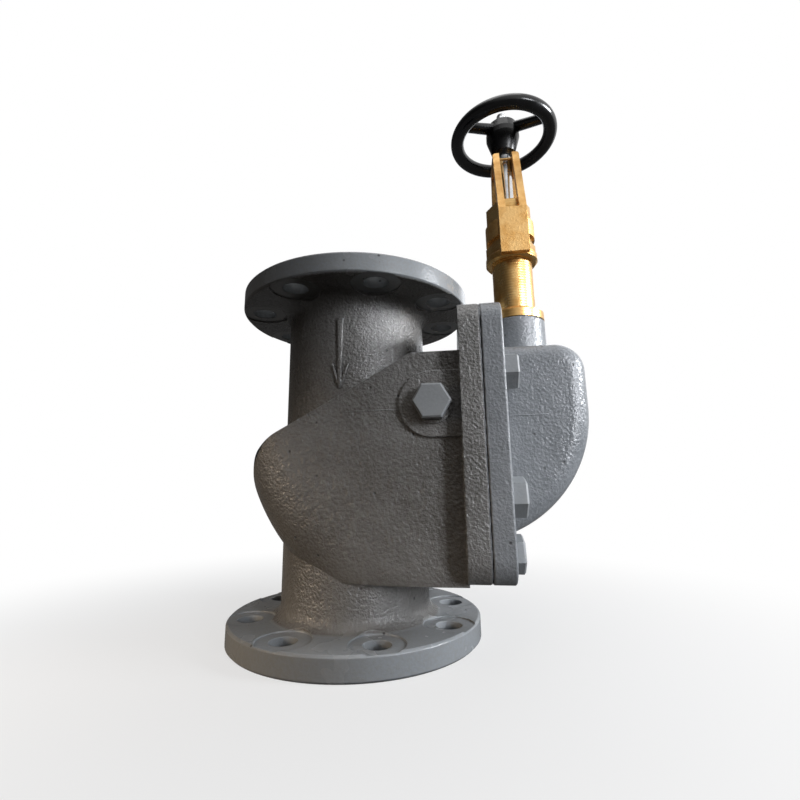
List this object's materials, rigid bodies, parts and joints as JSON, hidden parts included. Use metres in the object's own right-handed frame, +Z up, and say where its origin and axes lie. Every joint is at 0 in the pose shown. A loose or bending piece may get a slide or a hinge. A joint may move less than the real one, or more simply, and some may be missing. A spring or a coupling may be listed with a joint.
{
  "type": "marine non-return valve",
  "caption": "Vertical flanged swing check valve for a ship's pipe, with a round-backed cover and a handwheel that screws down to lock the flap shut.",
  "frame": {"origin": "centre of the lower flange's underside, on the pipe's axis", "axes": "+Z up along the pipe, +X towards the cover, the hinge pin lies along Y"},
  "size_m": [0.2927, 0.2, 0.469],
  "materials": {
    "grey_paint": "semi-gloss paint over a rough casting",
    "brass": "machined",
    "bronze": "machined",
    "dark_steel": "blackened",
    "bright_steel": "turned",
    "black_paint": "glossy black paint",
    "rubber": "matt",
    "packing": "braided"
  },
  "bodies": {
    "valve": {"body": "grey_paint", "seat_ring": "bronze", "hinge_pin": "bright_steel", "plug_washer": "grey_paint", "hinge_plug": "grey_paint", "cover_gasket": "rubber", "cover": "grey_paint", "cover_bolts": "grey_paint", "bonnet": "brass", "guide_pin": "bright_steel", "thrust_bush": "bronze", "packing_rings": "packing", "gland_follower": "bronze", "gland_nut": "brass", "yoke": "brass", "keeper_pin": "brass"},
    "flap": {"flap_lever": "dark_steel", "hinge_bushes": "bronze", "flap_disc": "dark_steel", "seal_ring": "rubber", "flap_washer": "bright_steel", "flap_nut": "bright_steel", "split_pin": "brass", "counterweights": "bronze", "weight_pins": "bright_steel"},
    "handwheel": {"handwheel": "black_paint", "stem": "bright_steel", "wheel_washer": "dark_steel", "wheel_nut": "bright_steel"},
    "push_sleeve": {"push_sleeve": "bronze"}
  },
  "joints": [
    {"name": "flap_hinge", "type": "hinge", "parent": "valve", "child": "flap", "pos_m": [0.071, 0, 0.172], "axis": [0, -1, 0], "range_deg": [0, 40]},
    {"name": "wheel_turn", "type": "hinge", "parent": "valve", "child": "handwheel", "pos_m": [0.143, 0, 0.441], "axis": [0, 0, 1], "range_deg": [-4266, 0]},
    {"name": "sleeve_slide", "type": "slide", "parent": "valve", "child": "push_sleeve", "axis": [0, 0, 1], "range_m": [-0.0474, 0]}
  ],
  "couplings": [
    {"joint": "sleeve_slide", "follows": "wheel_turn", "m_per_rad": 0.00063662}
  ]
}
